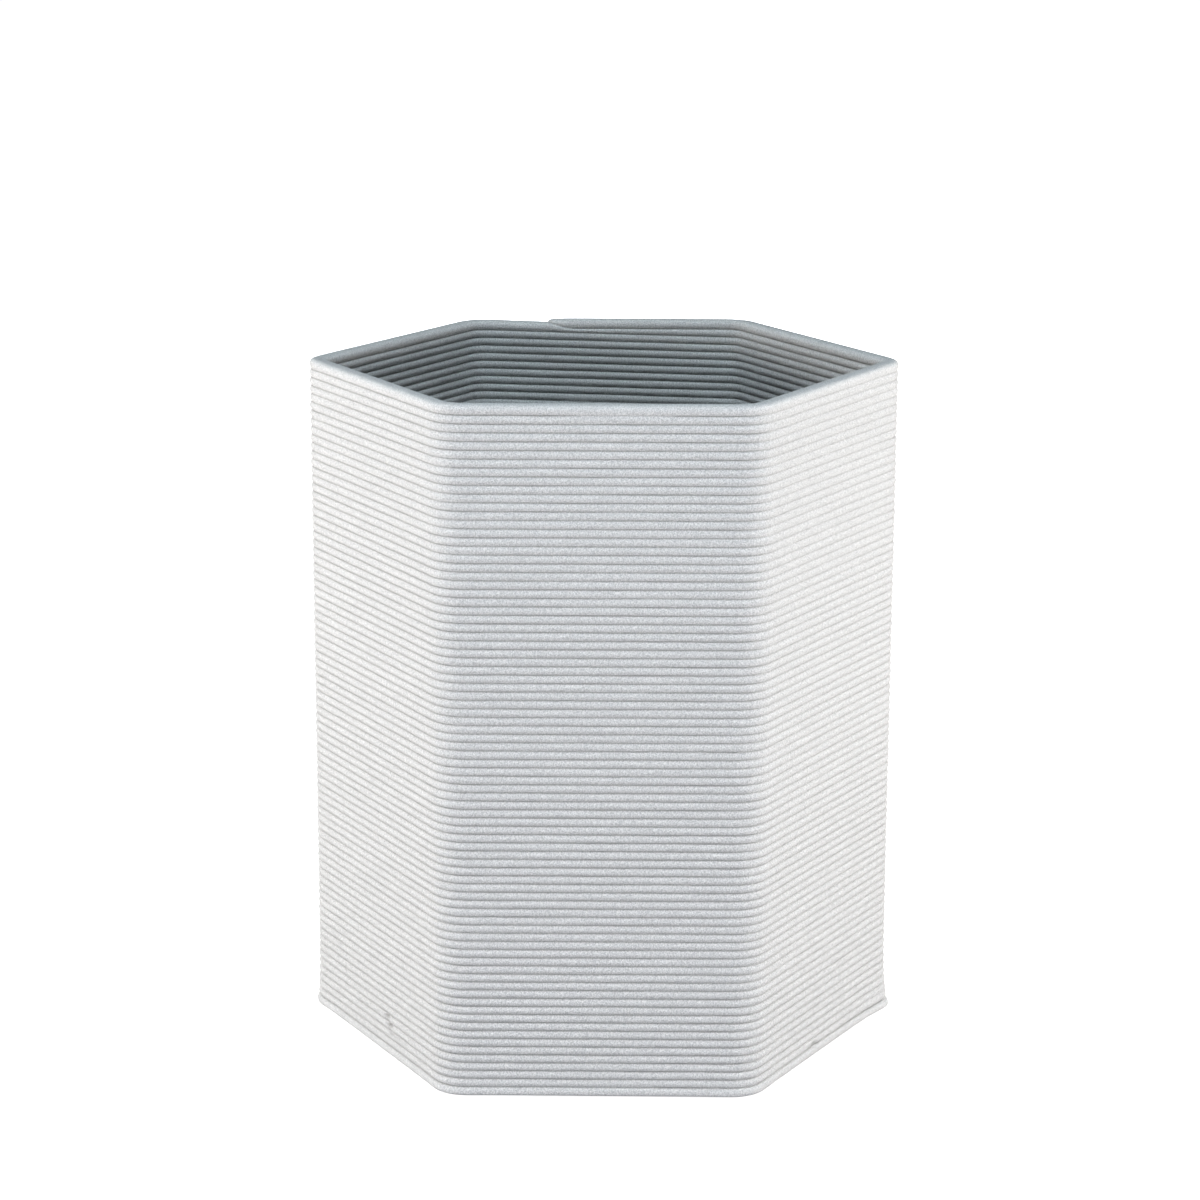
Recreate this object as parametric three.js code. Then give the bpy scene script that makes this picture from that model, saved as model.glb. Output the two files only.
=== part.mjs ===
// Hexagonal planter, printed in one continuous bead of plastic. Millimetres, +Z up.
// The origin is on the table under the middle of the pot, and one flat face of the hexagon looks
// along -Y, the front. The bead climbs counter-clockwise seen from above: it is almost level on
// five faces, climbs most of one layer along the back face, and ends in a step in the back rim.
import * as THREE from 'three';

// The bead
const LAYER = 3.0; // height of one layer
const BEADS = 82; // layers up the front face
const BEAD_WIDTH = 6.9; // wall thickness from crown to crown
const GROOVE = 0.6; // how deep the groove between two layers is, on each side
const CROWN = 0.6; // how far the last bead's rounded top stands over its layer
const LEVEL_RISE = 0.22; // part of a layer climbed over the five nearly level faces
const SEAM_X = -22.5; // where the last bead ends on the back face
const NOSE_LENGTH = 9; // length over which the last bead's end tapers
const SEAM_DROP = 0.45; // step down in the rim at the bead's end, in layers

// The hexagon
const APOTHEM = 94.35; // axis to the crown of a flat face
const CORNER_RADIUS = 13.8; // outer rounding of the six corners
const FOOT_SPREAD = 0.3; // how much wider the squashed first layer is
const FLARE_DECAY = 8.1; // height over which the first layers' flare at the corners fades
const CORNER_FLARE = { 0: 2.3, 60: 0.6, 120: 0.6, 180: 1.0, 240: 0.6, 300: 0.6 };

// The floor and what stands under it
const GAP = 0.3; // clearance between pieces that touch
const PAD_HEIGHT = 2;
const PAD_RADIUS = 7;
const PAD_CIRCLE = 82; // axis to each pad's centre
const BASE = PAD_HEIGHT + GAP; // underside of the wall and the floor
const FLOOR_THICKNESS = 2 * LAYER;
const FLOOR_TOP = BASE + FLOOR_THICKNESS;
const DRAIN_RADIUS = 10;

// The drain plug
const PLUG_CLEARANCE = 0.35;
const PLUG_FLANGE_RADIUS = 14;
const PLUG_FLANGE = 2;
const KNOB_RADIUS = 5;
const KNOB_HEIGHT = 7;

// The liner
const LINER_RIM_RADIUS = 84;
const LINER_TOP = 200;
const LINER_BODY_TOP_RADIUS = 80;
const LINER_FOOT_RADIUS = 62;
const LINER_WALL = 2;
const LINER_RIM_DEPTH = 10;
const LINER_BASE_LIFT = 18.2; // the raised middle of its base, clear of the plug when that is pulled
const LINER_FOOT_WIDTH = 5;

const rad = THREE.MathUtils.degToRad;

// ---- The hexagon's outline -------------------------------------------------------------------

// A rounded corner is cut by one chamfer that touches the arc at its middle. side is -1 for the
// chamfer's first end going counter-clockwise and +1 for its second.
function cornerPoint(apothem, radius, corner, side) {
  const reach = apothem / Math.cos(rad(30));
  const cut = radius * (Math.tan(rad(30)) - Math.tan(rad(15)));
  const along = rad(corner + 90 + 30 * side);
  return new THREE.Vector2(
    reach * Math.cos(rad(corner)) + side * cut * Math.cos(along),
    reach * Math.sin(rad(corner)) + side * cut * Math.sin(along),
  );
}

function hexagonPoints(apothem, radius) {
  const points = [];
  for (let corner = 0; corner < 360; corner += 60) {
    points.push(cornerPoint(apothem, radius, corner, -1), cornerPoint(apothem, radius, corner, 1));
  }
  return points;
}

// ---- The printed wall ------------------------------------------------------------------------

// Each column is one upright line of the wall's net. rise is how far its layers have climbed, in
// layers, and rim is the rim's height over the front's, in layers.
function cornerColumn(corner, side) {
  const turned = (corner - 120) / 300;
  const rise = LEVEL_RISE * (turned - 0.5);
  return {
    place: (apothem, radius) => cornerPoint(apothem, radius, corner, side),
    flare: CORNER_FLARE[corner % 360],
    flareAngle: rad(corner),
    rise,
    rim: rise,
    overStart: false,
    pastEnd: false,
  };
}

function backColumn(x, pastEnd) {
  const half = cornerPoint(APOTHEM, CORNER_RADIUS, 60, 1).x;
  const climbed = (half - x) / (2 * half);
  const highest = LEVEL_RISE / 2;
  const seamRim = highest - SEAM_DROP;
  const sinceSeam = (SEAM_X - x) / (SEAM_X + half);
  return {
    place: (apothem) => new THREE.Vector2(x, apothem),
    flare: 0,
    flareAngle: 0,
    rise: highest + (1 - LEVEL_RISE) * climbed,
    rim: pastEnd ? seamRim + (-highest - seamRim) * sinceSeam : highest,
    overStart: climbed > 0.01,
    pastEnd,
  };
}

function wallColumns() {
  const columns = [cornerColumn(120, 1)];
  for (const corner of [180, 240, 300, 360]) {
    columns.push(cornerColumn(corner, -1), cornerColumn(corner, 1));
  }
  columns.push(cornerColumn(420, -1), cornerColumn(420, 1));
  columns.push(backColumn(SEAM_X + NOSE_LENGTH, false), backColumn(SEAM_X, true));
  const last = backColumn(-cornerPoint(APOTHEM, CORNER_RADIUS, 60, 1).x, true);
  last.place = (apothem, radius) => cornerPoint(apothem, radius, 120, -1);
  columns.push(last);
  return columns;
}

// One vertex of the wall: how far its outline lies inside the crowns, and its height. side is +1
// on the outer surface and -1 on the inner one.
function wallVertex(column, side, inset, height) {
  const apothem = side > 0 ? APOTHEM - inset : APOTHEM - BEAD_WIDTH + inset;
  const radius = CORNER_RADIUS - (APOTHEM - apothem);
  const flare = side > 0 ? column.flare * Math.exp(-height / FLARE_DECAY) : 0;
  const place = column.place(apothem, radius);
  return [
    place.x + flare * Math.cos(column.flareAngle),
    place.y + flare * Math.sin(column.flareAngle),
    BASE + height,
  ];
}

// The heights up one column: foot, then a crown and a groove for each layer, then the last crown
// and the rim. Every column gives the same number of entries, so where a layer begins under the
// back face's first stretch, or the last bead has ended, entries repeat and name one vertex.
function columnRows(column, side, vertices) {
  const add = (inset, height) => vertices.push(wallVertex(column, side, inset, height)) - 1;
  const groove = (k) => LAYER * (k + (k === BEADS - 1 && !column.pastEnd
    ? Math.min(column.rise, LEVEL_RISE / 2)
    : column.rise));
  const rim = LAYER * (BEADS + column.rim) + CROWN;
  const foot = add(side > 0 ? -FOOT_SPREAD : 0, 0);
  const rows = [foot];
  let below = 0;
  for (let k = 0; k < BEADS; k += 1) {
    const merges = k === 0 && !column.overStart;
    const ended = k === BEADS - 1 && column.pastEnd;
    if (merges) {
      rows.push(foot, foot);
    } else if (ended) {
      rows.push(add(0, below + LAYER / 2));
      const top = add(BEAD_WIDTH / 4, rim);
      rows.push(top, top, top);
    } else {
      rows.push(add(0, (below + groove(k)) / 2), add(GROOVE, groove(k)));
      below = groove(k);
    }
  }
  if (!column.pastEnd) {
    rows.push(add(0, below + LAYER / 2), add(BEAD_WIDTH / 4, rim));
  }
  return rows;
}

// Past the last column the layers go on as the next ones up, so the first column is named again
// one layer higher.
function closeTurn(rows) {
  const top = rows.length - 1;
  return rows.map((vertex, i) => (i === 0 ? vertex : rows[Math.min(i + 2, top)]));
}

function wallGeometry() {
  const vertices = [];
  const triangles = [];
  const columns = wallColumns();
  const outer = columns.map((column) => columnRows(column, 1, vertices));
  const inner = columns.map((column) => columnRows(column, -1, vertices));
  outer.push(closeTurn(outer[0]));
  inner.push(closeTurn(inner[0]));
  const triangle = (a, b, c) => {
    if (a !== b && b !== c && a !== c) triangles.push(a, b, c);
  };
  const quad = (a, b, c, d) => {
    triangle(a, b, c);
    triangle(a, c, d);
  };
  const top = outer[0].length - 1;
  for (let c = 0; c < columns.length; c += 1) {
    for (let r = 0; r < top; r += 1) {
      quad(outer[c][r], outer[c + 1][r], outer[c + 1][r + 1], outer[c][r + 1]);
      quad(inner[c + 1][r], inner[c][r], inner[c][r + 1], inner[c + 1][r + 1]);
    }
    quad(outer[c][top], outer[c + 1][top], inner[c + 1][top], inner[c][top]);
    quad(inner[c][0], inner[c + 1][0], outer[c + 1][0], outer[c][0]);
  }
  const geometry = new THREE.BufferGeometry();
  geometry.setAttribute('position', new THREE.Float32BufferAttribute(vertices.flat(), 3));
  geometry.setIndex(triangles);
  geometry.computeVertexNormals();
  return geometry;
}

// ---- The floor, pads, plug and liner ---------------------------------------------------------

function floorGeometry() {
  const apothem = APOTHEM - BEAD_WIDTH - GAP;
  const outline = new THREE.Shape(hexagonPoints(apothem, CORNER_RADIUS - BEAD_WIDTH - GAP));
  const drain = new THREE.Path();
  drain.absarc(0, 0, DRAIN_RADIUS, 0, 2 * Math.PI, true);
  outline.holes.push(drain);
  return new THREE.ExtrudeGeometry(outline, {
    depth: FLOOR_THICKNESS,
    bevelEnabled: false,
    curveSegments: 32,
  });
}

// Turns an outline of [radius, height] pairs about the Z axis. It starts and ends on the axis and
// runs up the outside first.
function turned(outline, segments) {
  const points = outline.map(([radius, height]) => new THREE.Vector2(radius, height));
  return new THREE.LatheGeometry(points, segments).rotateX(Math.PI / 2);
}

function padGeometry() {
  const bevel = 0.5;
  return turned([
    [0, 0],
    [PAD_RADIUS, 0],
    [PAD_RADIUS, PAD_HEIGHT - bevel],
    [PAD_RADIUS - bevel, PAD_HEIGHT],
    [0, PAD_HEIGHT],
  ], 24);
}

// Heights are from the underside of the flange.
function plugGeometry() {
  const shank = DRAIN_RADIUS - PLUG_CLEARANCE;
  const length = FLOOR_THICKNESS;
  const knobTop = PLUG_FLANGE + KNOB_HEIGHT;
  const neck = 0.6 * KNOB_RADIUS;
  return turned([
    [0, -length],
    [shank - 1.2, -length],
    [shank - 0.5, -length + 1],
    [shank, 0],
    [PLUG_FLANGE_RADIUS, 0],
    [PLUG_FLANGE_RADIUS, PLUG_FLANGE - 0.8],
    [PLUG_FLANGE_RADIUS - 1.2, PLUG_FLANGE],
    [neck + 0.8, PLUG_FLANGE],
    [neck, PLUG_FLANGE + 1],
    [neck, knobTop - 4],
    [KNOB_RADIUS, knobTop - 2.6],
    [KNOB_RADIUS, knobTop - 1.2],
    [KNOB_RADIUS - 1.4, knobTop],
    [0, knobTop],
  ], 24);
}

// Heights are from the underside of the liner's foot.
function linerGeometry() {
  const height = LINER_TOP - FLOOR_TOP - GAP;
  const underRim = height - LINER_RIM_DEPTH;
  const footInside = LINER_FOOT_RADIUS - LINER_FOOT_WIDTH;
  const baseTop = LINER_BASE_LIFT + LINER_WALL;
  const slope = (LINER_BODY_TOP_RADIUS - LINER_FOOT_RADIUS) / underRim;
  const insideAt = (z) => LINER_FOOT_RADIUS + slope * z - LINER_WALL;
  const roll = 1.5;
  return turned([
    [0, LINER_BASE_LIFT],
    [footInside - 6, LINER_BASE_LIFT],
    [footInside, LINER_BASE_LIFT - 6],
    [footInside, 0],
    [LINER_FOOT_RADIUS, 0],
    [LINER_BODY_TOP_RADIUS, underRim],
    [LINER_RIM_RADIUS - roll, underRim],
    [LINER_RIM_RADIUS, underRim + roll],
    [LINER_RIM_RADIUS, height - roll],
    [LINER_RIM_RADIUS - roll, height],
    [LINER_BODY_TOP_RADIUS - LINER_WALL + roll, height],
    [LINER_BODY_TOP_RADIUS - LINER_WALL, height - roll],
    [LINER_BODY_TOP_RADIUS - LINER_WALL, underRim],
    [insideAt(baseTop + 4), baseTop + 4],
    [insideAt(baseTop) - 4, baseTop],
    [0, baseTop],
  ], 40);
}

// ---- The assembly ----------------------------------------------------------------------------

const printedPlastic = new THREE.MeshStandardMaterial({
  color: 0xd9dcde,
  roughness: 0.85,
  metalness: 0,
});
const linerPlastic = new THREE.MeshStandardMaterial({
  color: 0x3a3d40,
  roughness: 0.5,
  metalness: 0,
});
const plugRubber = new THREE.MeshStandardMaterial({
  color: 0x4a4d50,
  roughness: 0.8,
  metalness: 0,
});
const padRubber = new THREE.MeshStandardMaterial({
  color: 0x2a2b2c,
  roughness: 0.9,
  metalness: 0,
});

function piece(name, geometry, material, x, y, z) {
  const mesh = new THREE.Mesh(geometry, material);
  mesh.name = name;
  mesh.position.set(x, y, z);
  return mesh;
}

const pot = new THREE.Group();
pot.add(piece('printed_wall', wallGeometry(), printedPlastic, 0, 0, 0));
pot.add(piece('printed_floor', floorGeometry(), printedPlastic, 0, 0, BASE));
for (let i = 0; i < 6; i += 1) {
  const angle = rad(60 * i);
  const x = PAD_CIRCLE * Math.cos(angle);
  const y = PAD_CIRCLE * Math.sin(angle);
  pot.add(piece(`foot_pad_${i + 1}`, padGeometry(), padRubber, x, y, 0));
}

const planter = new THREE.Group();
planter.add(pot);
planter.add(piece('drain_plug', plugGeometry(), plugRubber, 0, 0, FLOOR_TOP + GAP));
planter.add(piece('liner', linerGeometry(), linerPlastic, 0, 0, FLOOR_TOP + GAP));

export default planter;
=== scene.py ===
# Looks of the hexagonal printed planter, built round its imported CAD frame. Metres, +Z up, and the
# hexagon's front face looks along -Y.
import math

import bpy
import numpy as np
from mathutils import Matrix, Vector


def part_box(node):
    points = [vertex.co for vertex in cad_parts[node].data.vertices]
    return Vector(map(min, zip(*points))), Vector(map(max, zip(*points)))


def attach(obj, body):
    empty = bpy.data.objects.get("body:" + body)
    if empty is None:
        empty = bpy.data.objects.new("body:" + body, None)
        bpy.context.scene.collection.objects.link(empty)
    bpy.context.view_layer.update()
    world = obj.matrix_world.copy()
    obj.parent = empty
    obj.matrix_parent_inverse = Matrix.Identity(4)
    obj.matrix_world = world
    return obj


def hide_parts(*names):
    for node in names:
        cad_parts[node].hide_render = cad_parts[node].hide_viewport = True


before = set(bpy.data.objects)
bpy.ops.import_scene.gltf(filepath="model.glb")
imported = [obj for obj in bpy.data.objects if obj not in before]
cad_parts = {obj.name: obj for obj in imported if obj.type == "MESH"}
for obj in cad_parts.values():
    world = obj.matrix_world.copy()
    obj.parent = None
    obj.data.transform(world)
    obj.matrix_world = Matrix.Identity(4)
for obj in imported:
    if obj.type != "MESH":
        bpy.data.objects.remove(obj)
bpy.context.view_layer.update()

MM = 0.001

# The bead, as in the CAD wall
LAYER = 3.0 * MM
BEADS = 82
BEAD_WIDTH = 6.9 * MM
GROOVE_DEPTH = 0.95 * MM
GROOVE_SHADE = 0.5  # how much painted shade darkens an average groove's crease, from 0 to 1
GROOVE_SHADE_INSIDE = 0.8
CROWN = 0.6 * MM  # the last bead's rounded top over its layer
LEVEL_RISE = 0.22  # part of a layer climbed over the five nearly level faces
SEAM_X = -22.5 * MM  # where the last bead ends on the back face
NOSE_LENGTH = 10 * MM
SEAM_DROP = 0.45  # the step in the rim, in layers
INSET = 0.12 * MM  # how far the crowns lie inside the CAD wall, so that their waver stays in it

# The hexagon
APOTHEM = 94.35 * MM
CORNER_RADIUS = 13.8 * MM
STRAIGHT = 2 * (APOTHEM - CORNER_RADIUS) * math.tan(math.radians(30))
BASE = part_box("printed_wall")[0].z
# Corners, and faces by their normals, in degrees from +X. The spiral's turns are counted from
# BACK_LEFT.
RIGHT, BACK_LEFT = 0, 120
LEFT_BACK_FACE, LEFT_FRONT_FACE, FRONT_FACE = 150, 210, 270
RIGHT_FRONT_FACE, RIGHT_BACK_FACE, BACK_FACE = 330, 30, 90

# The first layers spread at the corners, most of all at the right one
FOOT_SPREAD = 0.25 * MM
FLARE_DECAY = 8.1 * MM
FLARE_REACH = 11 * MM
CORNER_FLARE = {0: 2.2 * MM, 60: 0.5 * MM, 120: 0.5 * MM,
                180: 0.9 * MM, 240: 0.4 * MM, 300: 0.4 * MM}

MIRROR = 1000.0  # an inner point's key is this less its outer twin's

rng = np.random.default_rng(11)


# ---- Small shared helpers ---------------------------------------------------------------------

def smooth(t):
    t = min(1.0, max(0.0, t))
    return t * t * (3 - 2 * t)


def bump_at(x, centre, width):
    return math.exp(-(((x - centre) / width) ** 2))


def make_mesh(name, points, faces, painted_crease_shades=None):
    mesh = bpy.data.meshes.new(name)
    mesh.from_pydata(points, [], faces)
    mesh.update()
    mesh.polygons.foreach_set("use_smooth", np.ones(len(mesh.polygons), bool))
    # Edges with painted crease shade at both ends shade sharp, and the shade values go to an
    # attribute that darkens the colour.
    if painted_crease_shades is not None:
        painted_crease_shades = np.asarray(painted_crease_shades, np.float32)
        ends = np.zeros(2 * len(mesh.edges), np.int32)
        mesh.edges.foreach_get("vertices", ends)
        mark = mesh.attributes.new("sharp_edge", "BOOLEAN", "EDGE")
        mark.data.foreach_set("value", (painted_crease_shades > 0)[ends.reshape(-1, 2)].all(axis=1))
        mesh.attributes.new("painted_crease_shade", "FLOAT", "POINT").data.foreach_set("value", painted_crease_shades)
    obj = bpy.data.objects.new(name, mesh)
    bpy.context.scene.collection.objects.link(obj)
    return obj


class Ripple:
    """A smooth waver along the bead's whole length, so that it is unbroken from turn to turn."""

    def __init__(self, size):
        lengths = ((0.5, 29), (0.45, 41), (0.5, 67), (0.45, 113), (0.4, 239), (0.5, 619))
        self.waves = [(size * share, 2 * math.pi / (length * MM), rng.uniform(0, 2 * math.pi))
                      for share, length in lengths]

    def at(self, length):
        return sum(a * math.sin(k * length + phase) for a, k, phase in self.waves)


# ---- The printed wall's plan ------------------------------------------------------------------

class Column:
    """An upright line of the wall. Its outline starts at origin on the outer crown line and goes
    inwards along the unit vector inward. travel is the way walked along the crown line since the
    back left corner. facing is the angle of its corner or face, and along is the way walked since
    the middle of that."""

    def __init__(self, origin, inward, travel, facing, along):
        self.origin = origin
        self.inward = inward
        self.travel = travel
        self.facing = facing
        self.along = along


def walk_outline():
    """Columns counter-clockwise from the middle of the back left corner, all round to it again."""
    steps = 5
    columns = []
    travel = 0.0
    face_stops = {
        LEFT_BACK_FACE: even_stops(5),
        LEFT_FRONT_FACE: finer_stops(8, np.arange(5.5, 14.5, 1.1) * MM),
        FRONT_FACE: even_stops(13),
        RIGHT_FRONT_FACE: finer_stops(8, np.arange(-10.5, 1.0, 1.5) * MM),
        RIGHT_BACK_FACE: even_stops(5),
        BACK_FACE: finer_stops(6, nose_stops()),
    }
    for turn in range(7):
        corner = BACK_LEFT + 60 * turn
        centre = (APOTHEM - CORNER_RADIUS) / math.cos(math.radians(30))
        cx = centre * math.cos(math.radians(corner))
        cy = centre * math.sin(math.radians(corner))
        first = 0 if turn else steps / 2
        last = steps if turn < 6 else steps / 2 - 0.5
        for i in np.arange(first, last + 0.01, 0.5 if turn in (0, 6) else 1):
            angle = math.radians(corner - 30 + 60 * i / steps)
            out = (math.cos(angle), math.sin(angle))
            arc = CORNER_RADIUS * math.radians(60) * (i - first) / steps
            origin = (cx + CORNER_RADIUS * out[0], cy + CORNER_RADIUS * out[1])
            away = CORNER_RADIUS * math.radians(60) * (i / steps - 0.5)
            columns.append(Column(origin, (-out[0], -out[1]), travel + arc, corner % 360, away))
        travel += CORNER_RADIUS * math.radians(60) * (steps - first) / steps
        if turn == 6:
            break
        normal = (corner + 30) % 360
        out = (math.cos(math.radians(normal)), math.sin(math.radians(normal)))
        ahead = (-out[1], out[0])
        for stop in face_stops[normal]:
            origin = (APOTHEM * out[0] + stop * ahead[0], APOTHEM * out[1] + stop * ahead[1])
            columns.append(Column(origin, (-out[0], -out[1]), travel + STRAIGHT / 2 + stop,
                                  normal, stop))
        travel += STRAIGHT
    return columns


def even_stops(count):
    return [STRAIGHT * ((i + 1) / (count + 1) - 0.5) for i in range(count)]


def finer_stops(count, fine):
    """Even stops, but for the stretch that has its own closer ones."""
    margin = 1.5 * MM
    return sorted([x for x in even_stops(count) if x < fine[0] - margin or x > fine[-1] + margin]
                  + list(fine))


def nose_stops():
    """Close columns round the bead's end. Walking goes towards -X there."""
    tip = -SEAM_X
    stops = [tip - NOSE_LENGTH * (1 - f) for f in np.linspace(0, 0.97, 12)]
    return stops + [tip + 0.3 * MM, tip + 2 * MM]


# ---- The printed wall's stack -----------------------------------------------------------------

HALF_ARC = CORNER_RADIUS * math.radians(30)
BACK_START = HALF_ARC + 5 * (2 * HALF_ARC + STRAIGHT)
TURN = 6 * (2 * HALF_ARC + STRAIGHT)
RIM_RISE = LEVEL_RISE / 2


def climbed(travel):
    """Share of the back face walked, 0 before it and 1 after it."""
    return min(1.0, max(0.0, (travel - BACK_START) / STRAIGHT))


def layer_rise(travel):
    """How far the layers have climbed, in layers."""
    level = -RIM_RISE + LEVEL_RISE * min(1.0, travel / BACK_START)
    return level + (1 - LEVEL_RISE) * climbed(travel)


SMOOTH_INSIDE = (70, 71)  # grooves that are smeared inside the back face
TORN_GROOVES = ((5, 8.6), (4, 11.0), (3, 11.9))  # with millimetres along the left front face
DENTED_BEADS = ((5, 7.6), (4, 10.2))

tip_travel = BACK_START + STRAIGHT / 2 - SEAM_X
groove_ripple = Ripple(0.032 * MM)
crown_ripple = Ripple(0.035 * MM)
depth_ripple = Ripple(0.08)


def groove_height(k, column):
    travel = column.travel
    if k == 0:
        return LAYER * (1 - RIM_RISE) * climbed(travel)
    rise = layer_rise(travel)
    if k == BEADS - 1 and travel <= tip_travel:
        rise = min(rise, RIM_RISE)
    height = LAYER * (k + rise)
    height += groove_ripple.at(k * TURN + travel)
    if k == 1:
        height -= 0.28 * LAYER * near_right_corner(column)
    return height


def near_right_corner(column):
    """1 at the right corner, fading along the right front face."""
    if column.facing == RIGHT:
        return bump_at(column.along, 0, 22 * MM)
    if column.facing == RIGHT_FRONT_FACE:
        return bump_at(column.along, STRAIGHT / 2 + HALF_ARC, 26 * MM)
    return 0.0


def near_face(normal, travel):
    """1 on that face, fading to 0 round its corners."""
    number = (normal - BACK_LEFT) // 60
    middle = HALF_ARC + STRAIGHT / 2 + number * (2 * HALF_ARC + STRAIGHT)
    return smooth((STRAIGHT / 2 + 2 * HALF_ARC - abs(travel - middle)) / (2 * HALF_ARC))


def groove_scale(k, column, inner=False):
    """How deep a groove is beside the usual depth, with the places where it fades or is torn."""
    scale = 1 + depth_ripple.at(k * TURN + column.travel)
    if inner:
        if column.facing == BACK_FACE and k in SMOOTH_INSIDE:
            scale *= 1 - 0.5 * smooth((21 * MM - abs(column.along)) / (6 * MM))
        return scale
    up = k / BEADS
    left = near_face(LEFT_FRONT_FACE, column.travel)
    right = near_face(RIGHT_FRONT_FACE, column.travel)
    scale *= 1 + left * (0.25 - 0.35 * up) - right * 0.4 * up
    corner = near_right_corner(column)
    if k == 1:
        scale += 1.1 * corner
    if k == 2:
        scale -= 0.75 * corner
    if k == 3:
        scale -= 0.3 * corner
    if column.facing == FRONT_FACE and k == BEADS - 1:
        start = smooth((column.along + 16 * MM) / (8 * MM))
        end = smooth((27 * MM - column.along) / (6 * MM))
        scale *= 1 - 0.55 * start * end
    if column.facing == LEFT_FRONT_FACE:
        for groove, place in TORN_GROOVES:
            if k == groove:
                scale += 0.9 * bump_at(column.along, place * MM, 1.9 * MM)
    if column.facing == RIGHT_FRONT_FACE and k == 1:
        scale += 1.5 * bump_at(column.along, -6.5 * MM, 2.2 * MM)
    return scale


# Where the nozzle caught the bead, by face: (bead, place up its side, millimetres along,
# strength of its dent and of its painted shade)
SCARS = {
    LEFT_FRONT_FACE: ((5, 4 / 6, 8.4, 0.8), (5, 1 / 6, 10.0, 0.7), (4, 4 / 6, 10.4, 0.8),
                      (4, 1 / 6, 11.8, 0.5), (3, 4 / 6, 12.2, 0.5)),
    RIGHT_FRONT_FACE: ((2, 1 / 6, -6.5, 0.9), (2, 3 / 6, -8.0, 0.6)),
}


def scar(j, place, column):
    """Strength of the small scars low on the faces beside the front one: how deep they sink and how
    much painted shade darkens them.
    """
    dark = 0.0
    for bead, up, along, strength in SCARS.get(column.facing, ()):
        if j == bead:
            near = bump_at(column.along, along * MM, 2.4 * MM) * bump_at(place, up, 0.15)
            dark += strength * near
    return dark if dark > 0.15 else 0.0


def crown_inset(j, column):
    """How far bead j's crown lies inside the outline."""
    inset = INSET + crown_ripple.at(j * TURN + column.travel)
    if j <= 1:
        inset -= FOOT_SPREAD
    if column.facing == LEFT_FRONT_FACE:
        for bead, place in DENTED_BEADS:
            if j == bead:
                inset += 0.2 * MM * bump_at(column.along, place * MM, 1.8 * MM)
    if column.facing == RIGHT_FRONT_FACE and j == 2:
        inset += 0.25 * MM * bump_at(column.along, -7.2 * MM, 1.6 * MM)
    return inset


def side_samples(k, inner):
    """Places on bead k's side from the groove below, 0, over the crown to the groove above, 1."""
    if inner and k < BEADS - 20:
        return (0.25, 0.5, 0.75)
    return (1 / 6, 2 / 6, 0.5, 4 / 6, 5 / 6)


def bead_side(place, low, high, low_depth, high_depth):
    """How far a place on a bead's side lies behind its crown, and its height: two circular arcs."""
    half = (high - low) / 2
    sink = max(low_depth if place < 0.5 else high_depth, 0.02 * MM)
    radius = (half * half + sink * sink) / (2 * sink)
    angle = (2 * place - 1) * math.atan2(half, radius - sink)
    return radius * (1 - math.cos(angle)), low + half + radius * math.sin(angle)


def superellipse(angle, power):
    return (max(0.0, math.cos(angle)) ** (2 / power), max(0.0, math.sin(angle)) ** (2 / power))


def stack(column, inner):
    """One side of a column from the foot to the middle of the rim, as (key, depth from that side's
    outline, height, painted shade on its crease or scar). Key k is groove k, and bead k lies
    between k - 1 and k."""
    past_end = column.travel > tip_travel
    nose = (tip_travel - column.travel) / NOSE_LENGTH
    in_nose = 0 < nose < 0.999 and column.travel > BACK_START
    last = BEADS - 1 if past_end else BEADS
    over_start = climbed(column.travel) > 0
    points = []
    low = 0.0
    begin = 0 if over_start else 1
    rounding = 0.0 if inner else 0.25 * MM
    points.append((begin - 1, rounding, 0.0, 0))
    for j in range(begin, last):
        high = groove_height(j, column)
        ended = in_nose and j == BEADS - 1
        if ended:
            break
        thick = min(1.0, (high - low) / LAYER)
        inset = crown_inset(j, column)
        low_depth = GROOVE_DEPTH * thick * groove_scale(j - 1, column, inner)
        high_depth = GROOVE_DEPTH * thick * groove_scale(j, column, inner)
        for place in side_samples(j, inner):
            if j == begin and place < 0.5:
                low_depth = rounding * 0.5
            sunk, height = bead_side(place, low, high, low_depth, high_depth)
            # A scar sinks into the bead and is darkened with painted shade.
            dark = 0.0 if inner else scar(j, place, column)
            points.append((j - 1 + place, inset + sunk + 0.4 * MM * dark, height, dark))
        scale = groove_scale(j, column, inner)
        depth = (inset + crown_inset(j + 1, column)) / 2 + GROOVE_DEPTH * scale
        # Painted shade darkens each groove's crease, the more the deeper the groove.
        shade = GROOVE_SHADE_INSIDE if inner else GROOVE_SHADE
        points.append((j, depth, high, shade * scale ** 1.5))
        low = high
    if in_nose:
        points += nose_stack(column, low, nose)
    else:
        points += rim_stack(column, last, low)
    return points


def rim_height(travel):
    """Top of the rim over the foot."""
    if travel > tip_travel:
        since = (travel - tip_travel) / (BACK_START + STRAIGHT - tip_travel)
        rim = RIM_RISE - SEAM_DROP + (SEAM_DROP - LEVEL_RISE) * min(1.0, since)
    else:
        rim = min(layer_rise(travel), RIM_RISE)
    return LAYER * (BEADS + rim) + CROWN - 0.05 * MM


CAP_STEPS = 7
CAP_POWER = 2.8


def rim_stack(column, j, low):
    """The last bead: its side up to the crown, then a flattened round top."""
    points = []
    inset = crown_inset(j, column)
    middle = low + LAYER / 2
    top = rim_height(column.travel)
    sink = GROOVE_DEPTH * groove_scale(j - 1, column)
    for place in (1 / 6, 2 / 6, 0.5):
        sunk, height = bead_side(place, low, low + LAYER, sink, sink)
        points.append((j - 1 + place, inset + sunk, height, 0))
    for i in range(1, CAP_STEPS + 1):
        across, up = superellipse(math.radians(90 * i / CAP_STEPS), CAP_POWER)
        half = BEAD_WIDTH / 2 - inset
        points.append((j - 0.5 + i / (2 * CAP_STEPS), inset + half * (1 - across),
                       middle + (top - middle) * up, 0))
    return points


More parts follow.
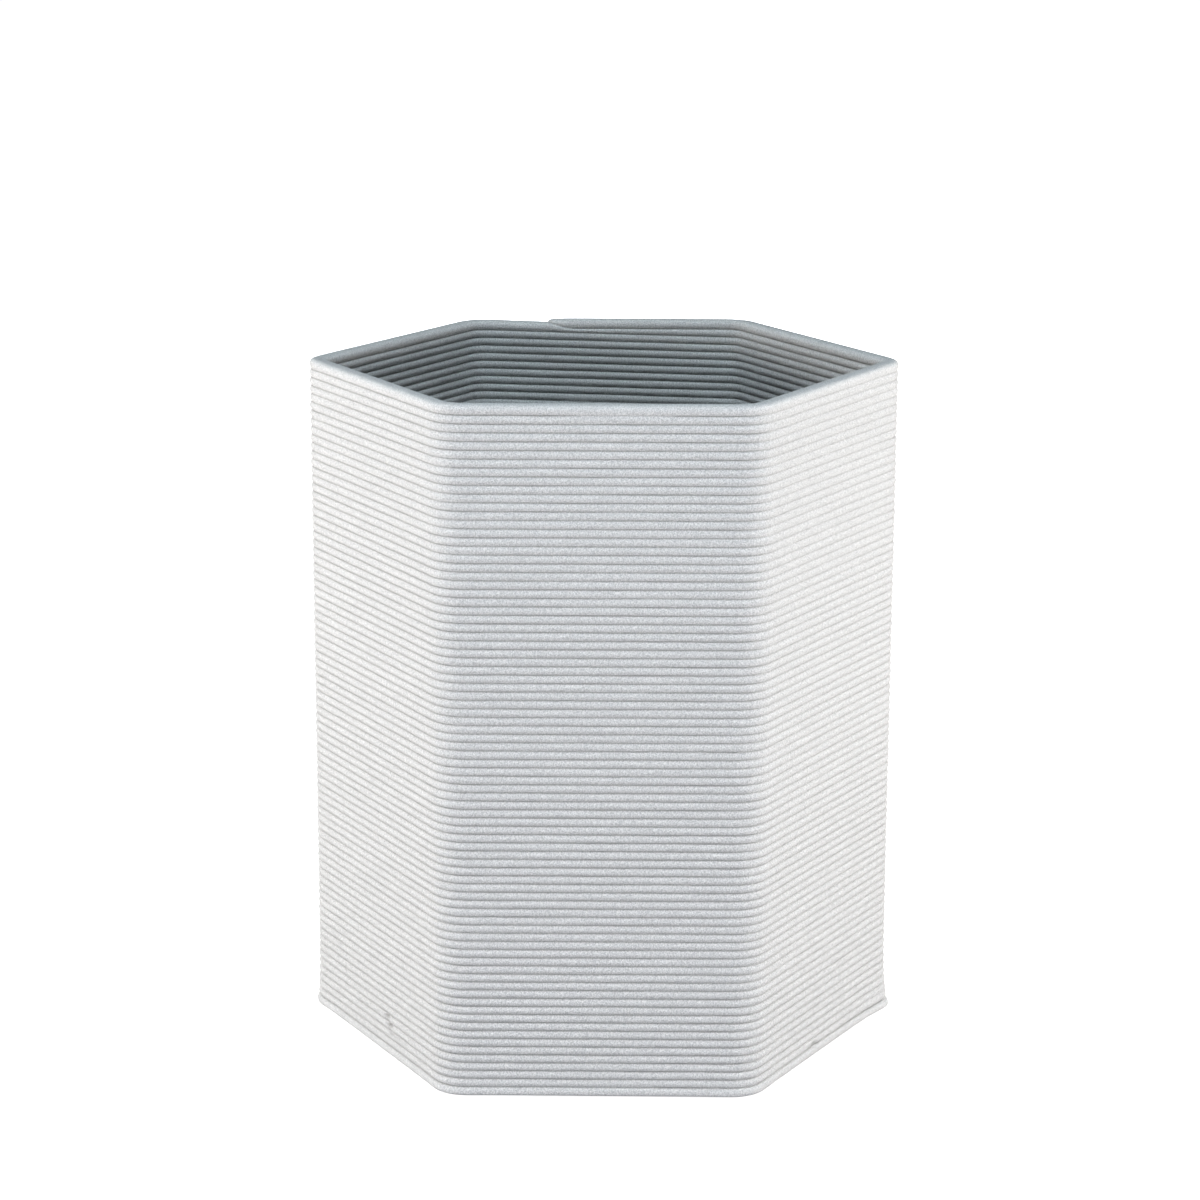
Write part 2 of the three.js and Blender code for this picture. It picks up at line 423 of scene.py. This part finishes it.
def nose_stack(column, low, nose):
    """Near its end the last bead thins to a round nose that lies on the bead below. nose is 0 at
    the tip and 1 where the bead is whole."""
    points = []
    half = BEAD_WIDTH / 2
    under = crown_inset(BEADS - 1, column)
    rise_left = rim_height(tip_travel + 0.01 * MM)
    rise_right = rim_height(tip_travel - 0.01 * MM)
    level = LAYER * (BEADS - 1 + RIM_RISE)
    top = rise_left + (rise_right - rise_left) * nose ** 0.12
    seat = rise_left + (level - rise_left) * (1 - (1 - nose) ** 1.8)
    round_end = min(1.0, nose * NOSE_LENGTH / (1.3 * half))
    seat_half = (half - 1.4 * GROOVE_DEPTH) * math.sqrt(1 - (1 - round_end) ** 2)
    lip = seat + 0.5 * MM * nose ** 0.3 * (1 - nose)
    middle = low + min(LAYER, (lip - low)) / 2
    for place in (1 / 6, 2 / 6, 0.5):
        sunk, height = bead_side(place, low, 2 * middle - low, GROOVE_DEPTH, GROOVE_DEPTH)
        points.append((BEADS - 2 + place, under + sunk, height, 0))
    power = CAP_POWER + (2 - CAP_POWER) * nose
    for i in range(1, CAP_STEPS + 1):
        across, up = superellipse(math.radians(90 * i / CAP_STEPS), power)
        reach = seat_half + (half - under - seat_half) * across
        height = middle + (lip - middle) * up if i < CAP_STEPS else seat
        # Painted shade in the crease where the nose sits on the bead below.
        painted_crease_shade = 0.8 if i == CAP_STEPS else 0
        points.append((BEADS - 1.5 + i / (2 * CAP_STEPS), half - reach, height, painted_crease_shade))
    crown_half = seat_half + (half - under - seat_half) * min(1.0, 1.5 * nose)
    middle = seat + (top - seat) * 0.42
    for angle in (30, 60, 90):
        a = math.radians(angle)
        reach = seat_half + (crown_half - seat_half) * math.sin(a)
        points.append((BEADS - 1 + angle / 180, half - reach,
                       middle - math.cos(a) * (middle - seat), 0))
    for i in range(1, CAP_STEPS + 1):
        across, up = superellipse(math.radians(90 * i / CAP_STEPS), CAP_POWER)
        points.append((BEADS - 0.5 + i / (2 * CAP_STEPS), half - crown_half * across,
                       middle + (top - middle) * up, 0))
    return points


def place_point(column, depth, height):
    """A point at that depth inside the outer crown line, with the flare of the first layers."""
    x = column.origin[0] + column.inward[0] * depth
    y = column.origin[1] + column.inward[1] * depth
    for corner, amount in CORNER_FLARE.items():
        angle = math.radians(corner)
        apex = (APOTHEM - CORNER_RADIUS) / math.cos(math.radians(30)) + CORNER_RADIUS
        away = math.hypot(x - apex * math.cos(angle), y - apex * math.sin(angle))
        if away < 3 * FLARE_REACH:
            push = amount * math.exp(-height / FLARE_DECAY) * bump_at(away, 0, FLARE_REACH)
            push *= max(0.0, 1 - depth / BEAD_WIDTH)
            x += push * math.cos(angle)
            y += push * math.sin(angle)
    return (x, y, BASE + height)


def wall_column(column, points, painted_crease_shades):
    """Adds a column's points and returns its (key, vertex) pairs, outside up then inside down."""
    chain = []
    outer = stack(column, inner=False)
    inner = stack(column, inner=True)
    for key, depth, height, painted_crease_shade in outer:
        chain.append([key, 1, len(points)])
        points.append(place_point(column, depth, height))
        painted_crease_shades.append(painted_crease_shade)
    for key, depth, height, painted_crease_shade in reversed(inner[:-1]):
        chain.append([key, -1, len(points)])
        points.append(place_point(column, BEAD_WIDTH - depth, height))
        painted_crease_shades.append(painted_crease_shade)
    return chain


def keyed(chain, shift):
    return [(key + shift if side > 0 else MIRROR - key - shift, vertex)
            for key, side, vertex in chain]


def zip_columns(a, b, faces):
    """Joins two neighbouring columns key by key: a quad where both go on, else a triangle."""
    i = j = 0
    while i < len(a) - 1 or j < len(b) - 1:
        next_a = a[i + 1][0] if i < len(a) - 1 else math.inf
        next_b = b[j + 1][0] if j < len(b) - 1 else math.inf
        if abs(next_a - next_b) < 1e-6:
            faces.append((a[i][1], b[j][1], b[j + 1][1], a[i + 1][1]))
            i += 1
            j += 1
        elif next_a < next_b:
            faces.append((a[i][1], b[j][1], a[i + 1][1]))
            i += 1
        else:
            faces.append((a[i][1], b[j][1], b[j + 1][1]))
            j += 1
    faces.append((a[-1][1], b[-1][1], b[0][1], a[0][1]))


def printed_wall():
    columns = walk_outline()
    points, painted_crease_shades, faces = [], [], []
    chains = [wall_column(c, points, painted_crease_shades) for c in columns]
    for a, b in zip(chains, chains[1:]):
        zip_columns(keyed(a, 0), keyed(b, 0), faces)
    zip_columns(keyed(chains[-1], 1), keyed(chains[0], 0), faces)
    return make_mesh("bead_wall", points, faces, painted_crease_shades)


# ---- Turned pieces and the floor --------------------------------------------------------------

def filleted(path):
    """A profile of (radius, height, fillet) in millimetres, its corners turned into arcs. A point
    is kept close beside each arc, so that the flats shade flat."""
    corners = [(Vector((r, z)), fillet) for r, z, fillet in path]
    points = []
    steps = 5
    for i, (here, fillet) in enumerate(corners):
        if fillet <= 0 or i in (0, len(corners) - 1):
            points.append(here)
            continue
        back = corners[i - 1][0] - here
        ahead = corners[i + 1][0] - here
        half = back.angle(ahead) / 2
        reach = min(fillet / math.tan(half), 0.45 * back.length, 0.45 * ahead.length)
        back.normalize()
        ahead.normalize()
        first, last = here + back * reach, here + ahead * reach
        centre = here + (back + ahead).normalized() * (reach / math.cos(half))
        points.append(first + back * min(0.25, reach))
        start, end = first - centre, last - centre
        total = start.angle(end)
        for k in range(steps + 1):
            f = k / steps
            points.append(centre + (start * math.sin((1 - f) * total) + end * math.sin(f * total))
                          / math.sin(total))
        points.append(last + ahead * min(0.25, reach))
    return [(p.x * MM, p.y * MM) for p in points]


def turned(name, profile, centre=(0, 0), segments=128):
    """A closed body of revolution. The profile runs from the axis round the outside to the axis."""
    points, faces, rows = [], [], []
    for radius, height in profile:
        if radius < 1e-6:
            rows.append([len(points)] * segments)
            points.append((centre[0], centre[1], height))
            continue
        rows.append(list(range(len(points), len(points) + segments)))
        for i in range(segments):
            angle = 2 * math.pi * i / segments
            points.append((centre[0] + radius * math.cos(angle),
                           centre[1] + radius * math.sin(angle), height))
    for low, high in zip(rows, rows[1:]):
        for i in range(segments):
            k = (i + 1) % segments
            corner = [low[i], low[k], high[k], high[i]]
            faces.append([v for n, v in enumerate(corner) if v != corner[n - 1]])
    return make_mesh(name, points, faces)


def printed_floor():
    """The pot's floor: two layers of rings of bead, hexagons at the rim and round at the hole."""
    low, high = (corner.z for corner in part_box("printed_floor"))
    outer = 87.05 * MM
    corner_radius = 6.6 * MM
    hole = 10.1 * MM
    rings = 11
    groove = 0.55 * MM
    top, bottom = [], []
    for i in range(rings):
        for angle in (0, 25, 60, 90, 120, 155):
            share = (i + (1 - math.cos(math.radians(angle))) / 2) / rings
            dip = groove * (1 - math.sin(math.radians(angle)))
            top.append((share, high - dip))
            bottom.append((share, low + 0.35 * dip))
    middle = (low + high) / 2
    side = [(0.0, middle + 0.5 * MM), (0.0022, middle), (0.0, middle - 0.5 * MM)]
    bore = [(1.0, low + 0.3 * MM), (1.0, middle - 0.4 * MM), (0.996, middle),
            (1.0, middle + 0.4 * MM), (1.0, high - 0.3 * MM)]
    loop = bottom + bore + top[::-1] + side
    segments = 120
    points, faces = [], []
    for share, height in loop:
        for i in range(segments):
            angle = 2 * math.pi * i / segments
            radius = hexagon_radius(angle, outer, corner_radius) * (1 - share) + hole * share
            points.append((radius * math.cos(angle), radius * math.sin(angle), height))
    for row in range(len(loop)):
        ahead = (row + 1) % len(loop)
        for i in range(segments):
            k = (i + 1) % segments
            faces.append((row * segments + i, ahead * segments + i,
                          ahead * segments + k, row * segments + k))
    return make_mesh("bead_floor", points, faces)


def hexagon_radius(angle, apothem, corner_radius):
    """Distance from the axis to a rounded hexagon with a corner on +X."""
    away = (angle + math.pi / 6) % (math.pi / 3) - math.pi / 6
    centre = (apothem - corner_radius) / math.cos(math.pi / 6)
    side = centre * math.sin(abs(away))
    on_arc = centre * math.cos(away) + math.sqrt(max(0.0, corner_radius ** 2 - side ** 2))
    flat = apothem / math.cos(math.pi / 6 - abs(away))
    return min(on_arc, flat) if side < corner_radius else flat


def foot_pad(name):
    low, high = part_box(name)
    radius = (high.x - low.x) / 2 / MM
    tall = high.z / MM
    profile = filleted([(0, 0.25, 0), (radius * 0.45, 0.0, 3), (radius - 0.9, 0, 0.9),
                        (radius - 0.15, tall - 0.5, 0.4), (radius, tall, 0.15), (0, tall, 0)])
    return turned(name + "_rubber", profile, ((low.x + high.x) / 2, (low.y + high.y) / 2), 72)


def drain_plug():
    seat = (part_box("drain_plug")[1].z - 9 * MM) / MM
    profile = filleted([
        (0, seat - 5.2, 0), (4.5, seat - 5.2, 0.5), (5.2, seat - 6, 0.3), (8.6, seat - 6, 0.6),
        (9.6, seat - 4.6, 0.8), (9.2, seat - 3.2, 0.5), (9.6, seat - 2, 0.6), (9.6, seat, 0.25),
        (13.95, seat, 0.35), (13.95, seat + 1.2, 0.8), (12.4, seat + 2, 0.9), (3.2, seat + 2, 1.2),
        (2.95, seat + 4.4, 0.6), (4.9, seat + 5.4, 0.9), (4.9, seat + 8.0, 1.0),
        (3.8, seat + 9, 1.0), (0, seat + 9, 0)])
    return turned("rubber_plug", profile, segments=96)


def liner():
    foot, top = (corner.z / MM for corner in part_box("liner"))
    base = foot + 18.2
    under_rim = top - 10
    profile = filleted([
        (0, base + 0.5, 0), (5.5, base + 0.5, 0.3), (6.2, base, 0.3), (53.5, base, 2.0),
        (57.2, foot + 0.1, 1.2), (61.7, foot + 0.1, 1.4), (62.9, foot + 14, 1.0),
        (63.4, foot + 14.4, 0.3),
        (79.55, under_rim - 6, 1.2), (80.3, under_rim - 4.6, 0.6), (80.6, under_rim, 0.9),
        (83.2, under_rim + 0.1, 0.6), (83.7, top - 3.4, 0.5), (83.95, top - 2.8, 0.5),
        (83.95, top, 1.1), (79.2, top, 1.3), (78.2, top - 4.5, 0.8), (77.9, top - 10.5, 0.6),
        (77.3, top - 16, 0.8), (60.4, base + 4.0, 3.0), (57.4, base + 2.05, 2.4),
        (40.6, base + 2.05, 0.2), (40.2, base + 2.35, 0.2), (38.8, base + 2.35, 0.2),
        (38.4, base + 2.05, 0.2), (3.2, base + 2.05, 0.2), (2.6, base + 1.75, 0.2),
        (0, base + 1.75, 0)])
    return turned("moulded_liner", profile, segments=160)


# ---- Materials --------------------------------------------------------------------------------

def new_material(name):
    material = bpy.data.materials.new(name)
    material.use_nodes = True
    nodes = material.node_tree.nodes
    links = material.node_tree.links
    shader = nodes["Principled BSDF"]
    return material, nodes, links, shader


def noise_node(nodes, links, coords, scale, detail=2.0, roughness=0.5):
    node = nodes.new("ShaderNodeTexNoise")
    node.inputs["Scale"].default_value = scale
    node.inputs["Detail"].default_value = detail
    node.inputs["Roughness"].default_value = roughness
    links.new(coords, node.inputs["Vector"])
    return node.outputs["Fac"]


def ramp_node(nodes, links, value, stops):
    node = nodes.new("ShaderNodeValToRGB")
    ramp = node.color_ramp
    while len(ramp.elements) < len(stops):
        ramp.elements.new(0.5)
    for element, (position, colour) in zip(ramp.elements, stops):
        element.position = position
        element.color = (*colour, 1)
    links.new(value, node.inputs["Fac"])
    return node.outputs["Color"]


def bump_node(nodes, links, height, distance, strength, normal=None):
    node = nodes.new("ShaderNodeBump")
    node.inputs["Distance"].default_value = distance
    node.inputs["Strength"].default_value = strength
    links.new(height, node.inputs["Height"])
    if normal is not None:
        links.new(normal, node.inputs["Normal"])
    return node.outputs["Normal"]


def printed_material():
    """Matte filled plastic with a fine sandy grain, and painted shade darkening its grooves and
    scars.
    """
    material, nodes, links, shader = new_material("printed_plastic")
    coords = nodes.new("ShaderNodeTexCoord").outputs["Object"]
    grain = noise_node(nodes, links, coords, 2100, 2, 0.55)
    fine = noise_node(nodes, links, coords, 4500, 2, 0.5)
    colour = ramp_node(nodes, links, grain,
                       [(0.3, (0.58, 0.595, 0.605)), (0.68, (0.945, 0.955, 0.96))])
    # Painted shade: the crease attribute multiplies the colour darker in the grooves, the scars and
    # the nose's seat.
    painted_crease_shade = nodes.new("ShaderNodeAttribute")
    painted_crease_shade.attribute_name = "painted_crease_shade"
    painted_shade = nodes.new("ShaderNodeMix")
    painted_shade.data_type = "RGBA"
    painted_shade.blend_type = "MULTIPLY"
    links.new(painted_crease_shade.outputs["Fac"], painted_shade.inputs["Factor"])
    links.new(colour, painted_shade.inputs["A"])
    painted_shade.inputs["B"].default_value = (0.32, 0.31, 0.30, 1)
    links.new(painted_shade.outputs["Result"], shader.inputs["Base Color"])
    shader.inputs["Roughness"].default_value = 0.8
    shader.inputs["Specular IOR Level"].default_value = 0.3
    normal = bump_node(nodes, links, grain, 0.42 * MM, 1.0)
    normal = bump_node(nodes, links, fine, 0.16 * MM, 1.0, normal)
    links.new(normal, shader.inputs["Normal"])
    return material


def liner_material():
    """Dark moulded plastic: satin, with a spark-eroded skin and a few cloudy scuffs."""
    material, nodes, links, shader = new_material("liner_plastic")
    coords = nodes.new("ShaderNodeTexCoord").outputs["Object"]
    skin = noise_node(nodes, links, coords, 1500, 3, 0.6)
    cloud = noise_node(nodes, links, coords, 45, 5, 0.62)
    colour = ramp_node(nodes, links, cloud,
                       [(0.3, (0.040, 0.044, 0.047)), (0.72, (0.054, 0.060, 0.064))])
    gloss = ramp_node(nodes, links, cloud, [(0.3, (0.41, 0.41, 0.41)), (0.75, (0.51, 0.51, 0.51))])
    links.new(colour, shader.inputs["Base Color"])
    links.new(gloss, shader.inputs["Roughness"])
    shader.inputs["Specular IOR Level"].default_value = 0.5
    links.new(bump_node(nodes, links, skin, 0.03 * MM, 0.8), shader.inputs["Normal"])
    return material


def rubber_material(name, dark, light, roughness):
    """Dull rubber with a chalky bloom and a fine pitted skin."""
    material, nodes, links, shader = new_material(name)
    coords = nodes.new("ShaderNodeTexCoord").outputs["Object"]
    bloom = noise_node(nodes, links, coords, 120, 4, 0.65)
    pits = noise_node(nodes, links, coords, 2200, 2, 0.5)
    colour = ramp_node(nodes, links, bloom, [(0.35, dark), (0.75, light)])
    links.new(colour, shader.inputs["Base Color"])
    rough = ramp_node(nodes, links, bloom,
                      [(0.3, (roughness - 0.1,) * 3), (0.8, (roughness + 0.08,) * 3)])
    links.new(rough, shader.inputs["Roughness"])
    shader.inputs["Specular IOR Level"].default_value = 0.35
    links.new(bump_node(nodes, links, pits, 0.03 * MM, 0.8), shader.inputs["Normal"])
    return material


def give(obj, material):
    obj.data.materials.clear()
    obj.data.materials.append(material)


# ---- Stage, lights and camera -----------------------------------------------------------------


def studio_floor():
    size = 20
    points = [(-size, -size, 0), (size, -size, 0), (size, size, 0), (-size, size, 0)]
    floor = make_mesh("studio_floor", points, [(0, 1, 2, 3)])
    material, nodes, links, shader = new_material("floor_white")
    shader.inputs["Base Color"].default_value = (0.31, 0.295, 0.3, 1)
    shader.inputs["Roughness"].default_value = 1.0
    shader.inputs["Specular IOR Level"].default_value = 0.0
    seen = nodes.new("ShaderNodeBsdfPrincipled")
    seen.inputs["Base Color"].default_value = (0.9, 0.9, 0.9, 1)
    seen.inputs["Roughness"].default_value = 1.0
    seen.inputs["Specular IOR Level"].default_value = 0.0
    seen.inputs["Emission Color"].default_value = (1, 1, 1, 1)
    seen.inputs["Emission Strength"].default_value = 0.93
    path = nodes.new("ShaderNodeLightPath")
    mix = nodes.new("ShaderNodeMixShader")
    links.new(path.outputs["Is Camera Ray"], mix.inputs[0])
    links.new(shader.outputs[0], mix.inputs[1])
    links.new(seen.outputs[0], mix.inputs[2])
    links.new(mix.outputs[0], nodes["Material Output"].inputs["Surface"])
    give(floor, material)


def white_world(strength, colour):
    world = bpy.data.worlds.new("studio")
    bpy.context.scene.world = world
    world.use_nodes = True
    nodes, links = world.node_tree.nodes, world.node_tree.links
    light = nodes["Background"]
    light.inputs["Color"].default_value = (*colour, 1)
    light.inputs["Strength"].default_value = strength
    seen = nodes.new("ShaderNodeBackground")
    seen.inputs["Color"].default_value = (1, 1, 1, 1)
    seen.inputs["Strength"].default_value = 1.0
    path = nodes.new("ShaderNodeLightPath")
    mix = nodes.new("ShaderNodeMixShader")
    links.new(path.outputs["Is Camera Ray"], mix.inputs[0])
    links.new(light.outputs[0], mix.inputs[1])
    links.new(seen.outputs[0], mix.inputs[2])
    links.new(mix.outputs[0], nodes["World Output"].inputs["Surface"])


def softbox(name, position, target, width, height, power, colour=(1, 1, 1)):
    data = bpy.data.lights.new(name, "AREA")
    data.shape = "RECTANGLE"
    data.size = width
    data.size_y = height
    data.energy = power
    data.color = colour
    obj = bpy.data.objects.new(name, data)
    bpy.context.scene.collection.objects.link(obj)
    obj.location = position
    obj.visible_camera = False
    obj.rotation_euler = (Vector(target) - Vector(position)).to_track_quat("-Z", "Y").to_euler()


def studio_light():
    """Low strips beside the pot, level with its rim, so that they light its sides but not its
    inside, a cool box above, and fills in front and behind."""
    white_world(0.112, (1.08, 1.0, 1.0))
    middle = (0, 0, 0.2)
    softbox("left_box", (-0.66, -0.2, 0.247), middle, 0.8, 0.14, 4.5, (1.04, 1.0, 0.955))
    softbox("right_box", (0.66, -0.2, 0.222), middle, 0.8, 0.11, 4.3, (1.04, 1.0, 0.955))
    softbox("top_box", (0, -0.3, 0.95), (0, 0, 0.15), 0.7, 0.5, 3.2, (0.83, 1.0, 1.08))
    softbox("front_box", (0, -1.7, 0.2), (0, 0, 0.12), 1.4, 0.28, 5.35, (0.935, 1.01, 1.175))
    softbox("back_box", (0, 1.7, 0.14), (0, 0, 0.12), 1.4, 0.24, 8.0, (0.97, 1.0, 1.03))


def main_camera():
    data = bpy.data.cameras.new("camera")
    data.lens = 98.2
    data.sensor_width = 36
    camera = bpy.data.objects.new("camera", data)
    bpy.context.scene.collection.objects.link(camera)
    pitch = math.radians(13.82)
    heading = math.radians(0.57)
    roll = math.radians(0.22)
    turn = Matrix.Rotation(heading, 4, "Z") @ Matrix.Rotation(math.pi / 2 - pitch, 4, "X")
    camera.matrix_world = (Matrix.Translation((0.0106, -1.1708, 0.4469)) @ turn
                           @ Matrix.Rotation(roll, 4, "Z"))
    bpy.context.scene.camera = camera


main_camera()
studio_light()
studio_floor()

def finish_piece(obj, material, body, node):
    give(obj, material)
    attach(obj, body)
    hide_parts(node)


plastic = printed_material()
finish_piece(printed_wall(), plastic, "pot", "printed_wall")
finish_piece(printed_floor(), plastic, "pot", "printed_floor")
pad_rubber = rubber_material("pad_rubber", (0.018, 0.018, 0.019), (0.036, 0.036, 0.038), 0.75)
for number in range(1, 7):
    node = f"foot_pad_{number}"
    finish_piece(foot_pad(node), pad_rubber, "pot", node)
plug_rubber = rubber_material("plug_rubber", (0.055, 0.059, 0.063), (0.092, 0.098, 0.104), 0.7)
finish_piece(drain_plug(), plug_rubber, "plug", "drain_plug")
finish_piece(liner(), liner_material(), "liner", "liner")

bpy.context.scene.view_settings.view_transform = "Standard"
